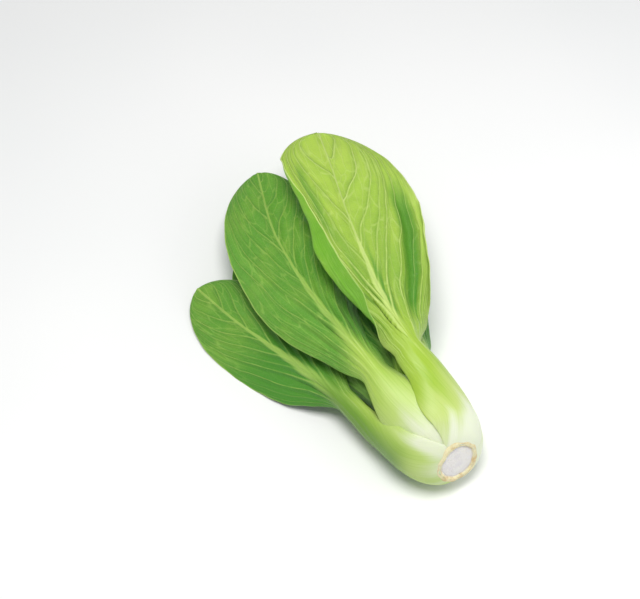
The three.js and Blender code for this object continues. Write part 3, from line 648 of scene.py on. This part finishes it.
class Shader:
    """Short calls for building a node tree."""

    def __init__(self, name):
        self.material = bpy.data.materials.new(name)
        self.material.use_nodes = True
        self.tree = self.material.node_tree
        self.inputs = self.tree.nodes["Principled BSDF"].inputs

    def node(self, kind, settings=None, **inputs):
        node = self.tree.nodes.new(kind)
        for key, value in (settings or {}).items():
            setattr(node, key, value)
        for key, value in inputs.items():
            self.plug(value, node.inputs[key.replace("_", " ")])
        return node

    def plug(self, value, socket):
        if isinstance(value, bpy.types.NodeSocket):
            self.tree.links.new(value, socket)
        else:
            socket.default_value = value

    def attribute(self, name, output="Fac"):
        return self.node("ShaderNodeAttribute", {"attribute_name": name}).outputs[output]

    def math(self, operation, *values):
        node = self.node("ShaderNodeMath", {"operation": operation})
        for value, socket in zip(values, node.inputs):
            self.plug(value, socket)
        return node.outputs[0]

    def add(self, a, b):
        return self.math("ADD", a, b)

    def subtract(self, a, b):
        return self.math("SUBTRACT", a, b)

    def multiply(self, a, b):
        return self.math("MULTIPLY", a, b)

    def ramp(self, value, low, high, to_low=0.0, to_high=1.0):
        node = self.node("ShaderNodeMapRange", {"interpolation_type": "SMOOTHSTEP"})
        for i, item in enumerate((value, low, high, to_low, to_high)):
            self.plug(item, node.inputs[i])
        return node.outputs[0]

    def blend(self, a, b, factor):
        """Colour a, turned into colour b as far as factor says."""
        node = self.node("ShaderNodeMix", {"data_type": "RGBA"})
        self.plug(factor, node.inputs["Factor"])
        self.plug(a, node.inputs[6])
        self.plug(b, node.inputs[7])
        return node.outputs[2]

    def scaled(self, vector, scale):
        node = self.node("ShaderNodeVectorMath", {"operation": "MULTIPLY"})
        self.plug(vector, node.inputs[0])
        node.inputs[1].default_value = scale
        return node.outputs[0]

    def noise(self, vector, scale, detail=3.0, roughness=0.55):
        node = self.node("ShaderNodeTexNoise", None, Vector=vector, Scale=scale, Detail=detail,
                         Roughness=roughness)
        return node.outputs["Fac"]

    def cell_edges(self, vector, scale):
        """Distance to the nearest edge of a pattern of cells."""
        node = self.node("ShaderNodeTexVoronoi", {"feature": "DISTANCE_TO_EDGE"}, Vector=vector,
                         Scale=scale)
        return node.outputs["Distance"]

    def bump(self, height, distance, strength):
        node = self.node("ShaderNodeBump", None, Height=height, Distance=distance,
                         Strength=strength)
        self.plug(node.outputs["Normal"], self.inputs["Normal"])

    def subsurface(self, weight, radius, scale):
        self.inputs["Subsurface Weight"].default_value = weight
        self.inputs["Subsurface Radius"].default_value = radius
        self.inputs["Subsurface Scale"].default_value = scale


# Colours of the blade (under and upper side), of the stalk (lime near the blade, middle, ivory
# at the base) and of the veins. Then how clear the side veins are, how patchy the blade is, and
# how much deeper its green gets toward the neck and lighter at the tip.
LOOKS = {
    "pale": dict(
        under="#a9cc4c", upper="#80c030", lime="#a3c33e", middle="#c3d67a", ivory="#e6ecd2",
        vein="#cfe486", vein_clearness=0.85, patchy=0.8, deeper_at_neck=0.4, lighter_at_tip=0.7,
    ),
    "green": dict(
        under="#65a236", upper="#569a28", lime="#adcc58", middle="#c0d87a", ivory="#e2e9ca",
        vein="#acd062", vein_clearness=0.62, patchy=0.35, deeper_at_neck=0.0, lighter_at_tip=0.0,
    ),
    "deep": dict(
        under="#4a8c30", upper="#3f8428", lime="#8fb93a", middle="#b5cb6c", ivory="#dde5c0",
        vein="#82b34e", vein_clearness=0.62, patchy=0.35, deeper_at_neck=0.0, lighter_at_tip=0.0,
    ),
}
DARK_GREEN, LIGHT_GREEN = tint("#2f6f1c"), tint("#c3dc5c")
# painted shade between the ribs near the neck
TROUGH_PAINTED_SHADE = tint("#5f8f2e")  # between the ribs near the neck
# painted shade in the hollows, and painted light where the blade catches the light
BLADE_PAINTED_SHADE, STALK_PAINTED_SHADE = tint("#478f2a"), tint("#5a8c25")  # in the hollows
BLADE_PAINTED_LIGHT = tint("#c4e368")  # where the blade catches the light
STRAND_GREEN, STALK_RIB = tint("#8dba35"), tint("#dbe99a")
# how strongly the painted shade and painted light are laid on
PAINTED_SHADE_STRENGTH = 0.82
MIDRIB_CLEARNESS = 0.78


class LeafShader(Shader):
    """The finish of a leaf, from the values stored at the points of its mesh."""

    def __init__(self, name, look):
        super().__init__("leaf_" + name)
        self.look = look
        self.vein_tint = tint(look["vein"])
        self.place = self.attribute("leaf_place", "Vector")
        self.along = self.attribute("along")
        self.margin = self.attribute("margin")
        self.underside = self.attribute("underside")
        # painted shade in the hollows, and painted light where it is below 0
        self.shade = self.multiply(self.attribute("painted_shade"), PAINTED_SHADE_STRENGTH)
        self.from_neck = self.subtract(self.along, self.attribute("neck"))
        veins = self.attribute("vein_place", "Vector")
        veins = self.node("ShaderNodeSeparateXYZ", None, Vector=veins)
        self.phase, self.spacing, self.from_rib = veins.outputs
        self.broad = self.noise(self.place, 0.045, 2.0)
        self.patch = self.noise(self.place, 0.14, 4.0)
        self.fine = self.noise(self.place, 1.6, 3.0)
        strand_place = self.scaled(self.place, (1.5, 0.03, 1.0))
        self.strands = self.noise(strand_place, 1.0, 3.0, 0.6)

    def vein_lines(self):
        """Side veins, where the count of veins is whole, and a painted shadow line beside each."""
        whole = self.math("ROUND", self.phase)
        off_vein = self.multiply(self.subtract(self.phase, whole), self.spacing)
        away = self.math("ABSOLUTE", off_vein)
        strength = self.node("ShaderNodeTexWhiteNoise", {"noise_dimensions": "1D"}, W=whole)
        line = self.ramp(away, 0.0, self.ramp(self.margin, 0.0, 1.0, 0.6, 0.28), 1.0, 0.0)
        line = self.multiply(line, self.ramp(self.margin, 0.8, 1.0, 1.0, 0.25))
        line = self.multiply(line, self.ramp(strength.outputs["Value"], 0.0, 1.0, 0.45, 1.0))
        line = self.multiply(line, self.ramp(self.patch, 0.36, 0.56, 0.45, 1.0))
        beside = self.multiply(
            self.ramp(off_vein, 0.25, 0.5), self.ramp(off_vein, 0.55, 1.3, 1.0, 0.0),
        )
        return line, beside, away

    def midrib(self):
        """Wide where it leaves the stalk and slim toward the tip."""
        width = self.ramp(self.from_neck, -0.02, 0.42, 7.0, 1.0)
        width = self.multiply(width, self.attribute("rib_share"))
        return self.ramp(self.from_rib, self.multiply(width, 0.35), width, 1.0, 0.0)

    def net(self):
        """Fine veins: cross links from one side vein to the next, and small meshes."""
        link_place = self.node(
            "ShaderNodeCombineXYZ", None, X=self.multiply(self.phase, 1.7),
            Y=self.multiply(self.from_rib, 0.17), Z=self.broad,
        )
        links = self.ramp(self.cell_edges(link_place.outputs[0], 1.0), 0.0, 0.07, 1.0, 0.0)
        meshes = self.ramp(self.cell_edges(self.place, 0.55), 0.0, 0.08, 1.0, 0.0)
        return links, meshes

    def painted_trough_shade(self):
        """Painted shade: dark lines between the ribs that run up out of the neck."""
        off_middle = self.math("ABSOLUTE", self.subtract(self.math("FRACT", self.phase), 0.72))
        near_neck = self.multiply(
            self.ramp(self.from_neck, 0.0, 0.06), self.ramp(self.from_neck, 0.12, 0.3, 1.0, 0.0),
        )
        line = self.ramp(off_middle, 0.04, 0.16, 1.0, 0.0)
        return self.multiply(line, self.multiply(near_neck, 0.7))

    def blade_colour(self, side_vein, beside, away, links, meshes):
        look = self.look
        blade = self.blend(tint(look["upper"]), tint(look["under"]), self.underside)
        dark = self.blend(blade, DARK_GREEN, 0.5)
        blade = self.blend(blade, dark, self.ramp(self.patch, 0.45, 0.75, 0.0, 0.35))
        light = self.blend(blade, LIGHT_GREEN, 0.4)
        blade = self.blend(blade, light, self.ramp(self.broad, 0.42, 0.68, 0.0, look["patchy"]))
        deeper = self.ramp(self.from_neck, 0.1, 0.6, look["deeper_at_neck"], 0.0)
        blade = self.blend(blade, dark, deeper)
        lighter = self.ramp(self.from_neck, 0.44, 0.64, 0.0, look["lighter_at_tip"])
        blade = self.blend(blade, light, lighter)
        near_vein = self.subtract(1.0, self.ramp(away, 0.3, 4.0))
        blade = self.blend(blade, dark, self.multiply(near_vein, 0.30))
        # painted shadow line beside each vein, weaker on the upper face
        beside = self.multiply(beside, self.ramp(self.underside, 0.0, 1.0, 0.1, 0.5))
        blade = self.blend(blade, dark, beside)
        net_share = self.ramp(self.underside, 0.0, 1.0, 0.3, 1.0)
        for line, clearness in ((links, 0.30), (meshes, 0.12)):
            clear = self.multiply(line, self.multiply(net_share, clearness))
            blade = self.blend(blade, self.vein_tint, clear)
        # painted shade between the ribs near the neck
        blade = self.blend(blade, TROUGH_PAINTED_SHADE, self.painted_trough_shade())
        # painted shade in the hollows, then painted light where the blade catches the light
        blade = self.blend(blade, BLADE_PAINTED_SHADE, self.shade)
        blade = self.blend(blade, BLADE_PAINTED_LIGHT, self.multiply(self.shade, -1.0))
        clearness = self.ramp(self.underside, 0.0, 1.0, 0.12, look["vein_clearness"])
        blade = self.blend(blade, self.vein_tint, self.multiply(side_vein, clearness))
        return self.blend(blade, self.vein_tint, self.multiply(self.midrib(), MIDRIB_CLEARNESS))

    def stalk_colour(self, side_vein):
        """Ivory at the base, lime toward the blade, with greener lengthwise strands."""
        look = self.look
        bands = self.noise(self.scaled(self.place, (0.11, 0.012, 1.0)), 1.0, 1.0, 0.4)
        bands = self.math("MULTIPLY_ADD", bands, 0.24, -0.135)
        wander = self.math("MULTIPLY_ADD", self.strands, 0.04, bands)
        at = self.add(self.along, self.add(wander, self.attribute("greener")))
        stalk = self.blend(tint(look["ivory"]), tint(look["middle"]), self.ramp(at, 0.04, 0.14))
        stalk = self.blend(stalk, tint(look["lime"]), self.ramp(at, 0.11, 0.25))
        strand_line = self.ramp(self.strands, 0.48, 0.66)
        strand_share = self.ramp(at, 0.04, 0.25, 0.0, 0.35)
        stalk = self.blend(stalk, STRAND_GREEN, self.multiply(strand_line, strand_share))
        rib_line = self.multiply(side_vein, self.ramp(self.along, 0.15, 0.34, 0.0, 0.4))
        stalk = self.blend(stalk, STALK_RIB, rib_line)
        # painted shade in the hollows
        return self.blend(stalk, STALK_PAINTED_SHADE, self.shade)

    def blade_share(self):
        """From stalk, 0, to blade, 1. The blade's green comes down the margins of the stalk."""
        spread = self.math("MULTIPLY_ADD", self.strands, 0.08, self.from_neck)
        reach = self.math("MULTIPLY_ADD", self.margin, 0.12, spread)
        return self.ramp(reach, 0.05, 0.20)

    def relief(self, side_vein, links, meshes, to_blade):
        net = self.math("MULTIPLY_ADD", links, 0.5, self.multiply(meshes, 0.25))
        clearness = self.ramp(self.underside, 0.0, 1.0, 0.35, 1.0)
        veins = self.multiply(self.add(net, side_vein), clearness)
        relief = self.add(self.multiply(veins, to_blade), self.multiply(self.fine, 0.12))
        in_stalk = self.multiply(self.subtract(1.0, to_blade), 0.7)
        return self.add(relief, self.multiply(self.strands, in_stalk))


def leaf_material(name, look):
    shader = LeafShader(name, look)
    side_vein, beside, away = shader.vein_lines()
    links, meshes = shader.net()
    blade = shader.blade_colour(side_vein, beside, away, links, meshes)
    to_blade = shader.blade_share()
    colour = shader.blend(shader.stalk_colour(side_vein), blade, to_blade)
    edge = shader.ramp(shader.margin, 0.974, 0.988)
    edge = shader.multiply(edge, shader.ramp(shader.along, 0.42, 0.66, 0.35, 0.9))
    colour = shader.blend(colour, shader.vein_tint, shader.multiply(edge, to_blade))
    shader.plug(colour, shader.inputs["Base Color"])
    shader.plug(shader.ramp(shader.fine, 0.3, 0.7, 0.34, 0.48), shader.inputs["Roughness"])
    shader.inputs["Specular IOR Level"].default_value = 0.4
    shader.subsurface(0.12, (0.8, 1.0, 0.3), 0.0012)
    shader.bump(shader.relief(side_vein, links, meshes, to_blade), 0.0003, 0.9)
    return shader.material


def stem_material():
    """Greyish pith inside a tan, speckled ring."""
    shader = Shader("cut_stem")
    coordinates = shader.node("ShaderNodeTexCoord").outputs["Object"]
    speckle = shader.noise(coordinates, 900.0, 4.0)
    cloud = shader.noise(coordinates, 220.0, 3.0)
    grain = shader.node("ShaderNodeTexVoronoi", {"feature": "F1"}, Vector=coordinates, Scale=1500.0)
    pith = shader.blend(tint("#efece8"), tint("#e7e3e4"), shader.ramp(cloud, 0.4, 0.7))
    pith = shader.blend(pith, tint("#d3cabd"), shader.ramp(speckle, 0.55, 0.75, 0.0, 0.4))
    ring = shader.blend(tint("#ebe2b6"), tint("#d9c08c"), shader.ramp(cloud, 0.45, 0.7))
    ring = shader.blend(ring, tint("#8d6236"), shader.ramp(speckle, 0.6, 0.78, 0.0, 0.75))
    from_axis = shader.add(shader.attribute("from_axis"), -0.6)
    from_axis = shader.math("MULTIPLY_ADD", cloud, 1.2, from_axis)
    colour = shader.blend(pith, ring, shader.ramp(from_axis, 9.3, 10.2))
    shader.plug(colour, shader.inputs["Base Color"])
    shader.plug(shader.ramp(speckle, 0.3, 0.7, 0.6, 0.8), shader.inputs["Roughness"])
    shader.subsurface(0.2, (1.0, 0.8, 0.5), 0.0015)
    height = shader.math("MULTIPLY_ADD", grain.outputs["Distance"], 0.5, speckle)
    shader.bump(height, 0.0004, 0.9)
    return shader.material


# ---------------------------------------------------------------- the head
finishes = {name: leaf_material(name, look) for name, look in LOOKS.items()}

stem = build_stem()
stem.data.materials.append(stem_material())
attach(stem, "root")
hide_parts("stem_base")
for number, leaf in enumerate(LEAVES):
    piece = build_leaf(leaf, seed=number + 1)
    piece.data.materials.append(finishes[leaf["look"]])
    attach(piece, "root")
    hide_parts(leaf["name"])


# ---------------------------------------------------------------- floor, light and camera
def floor_material(low, high):
    shader = Shader("floor")
    coordinates = shader.node("ShaderNodeTexCoord").outputs["Object"]
    shade = shader.ramp(shader.noise(coordinates, 3.0, 2.0), 0.35, 0.65)
    shader.plug(shader.blend(tint(low), tint(high), shade), shader.inputs["Base Color"])
    shader.inputs["Roughness"].default_value = 0.55
    return shader.material


FLOOR_SIZE = 3.0  # metres
floor = new_object(
    "floor", np.array([(-1, -1, 0), (1, -1, 0), (1, 1, 0), (-1, 1, 0)]) * FLOOR_SIZE / 2 / MM,
    [(0, 1, 2, 3)], shift=(0, 0),
)
floor.data.materials.append(floor_material("#f9fafa", "#fdfdfd"))

CAMERA_ELEVATION = math.radians(56)
CAMERA_TURN = math.radians(31)  # how far left of the base end it stands
CAMERA_LENS, SENSOR_WIDTH = 85.0, 36.0  # mm
BULB_CENTRE = Vector((-1.8, 4.5, 24.6)) * MM
BULB_PIXEL = (432, 433)  # where the bulb's centre shows in the 640 by 599 frame
PIXEL = 0.53 * MM  # size of a pixel at the bulb
FRAME_WIDTH, FRAME_HEIGHT = 640, 599
HEAD_MIDDLE = Vector((0.08, 0, 0.03))  # what the lights face


def place_camera():
    forward = Vector((
        math.cos(CAMERA_TURN) * math.cos(CAMERA_ELEVATION),
        -math.sin(CAMERA_TURN) * math.cos(CAMERA_ELEVATION), -math.sin(CAMERA_ELEVATION),
    ))
    right = Vector((-math.sin(CAMERA_TURN), -math.cos(CAMERA_TURN), 0))
    up = right.cross(forward)
    distance = FRAME_WIDTH * CAMERA_LENS / SENSOR_WIDTH * PIXEL
    target = (
        BULB_CENTRE - right * (BULB_PIXEL[0] - FRAME_WIDTH / 2) * PIXEL
        + up * (BULB_PIXEL[1] - FRAME_HEIGHT / 2) * PIXEL
    )
    camera = bpy.data.objects.new("camera", bpy.data.cameras.new("camera"))
    camera.data.lens = CAMERA_LENS
    camera.data.sensor_width = SENSOR_WIDTH
    camera.data.clip_start = 0.01
    turn = Matrix((right, up, -forward)).transposed().to_4x4()
    camera.matrix_world = Matrix.Translation(target - forward * distance) @ turn
    bpy.context.scene.collection.objects.link(camera)
    bpy.context.scene.camera = camera
    return forward, right


def add_light(name, place, size, power, colour):
    """An area light that faces the middle of the head."""
    lamp = bpy.data.lights.new(name, "AREA")
    lamp.energy = power
    lamp.size = size
    lamp.color = colour
    light = bpy.data.objects.new(name, lamp)
    light.location = place
    light.rotation_euler = (HEAD_MIDDLE - place).to_track_quat("-Z", "Y").to_euler()
    bpy.context.scene.collection.objects.link(light)


forward, right = place_camera()
world = bpy.data.worlds.new("studio")
bpy.context.scene.world = world
world.use_nodes = True
sky = world.node_tree.nodes["Background"].inputs
sky["Color"].default_value = (0.95, 0.97, 1.0, 1)
sky["Strength"].default_value = 0.365
key_place = HEAD_MIDDLE - right * 0.03 - forward * 0.22 + Vector((0, 0, 0.58))
fill_place = HEAD_MIDDLE + right * 0.55 - forward * 0.15 + Vector((0, 0, 0.1))
add_light("key", key_place, size=0.34, power=4.8, colour=(1.0, 0.99, 0.96))
add_light("fill", fill_place, size=0.6, power=1.0, colour=(0.95, 0.98, 1.0))
bpy.context.scene.view_settings.view_transform = "Standard"
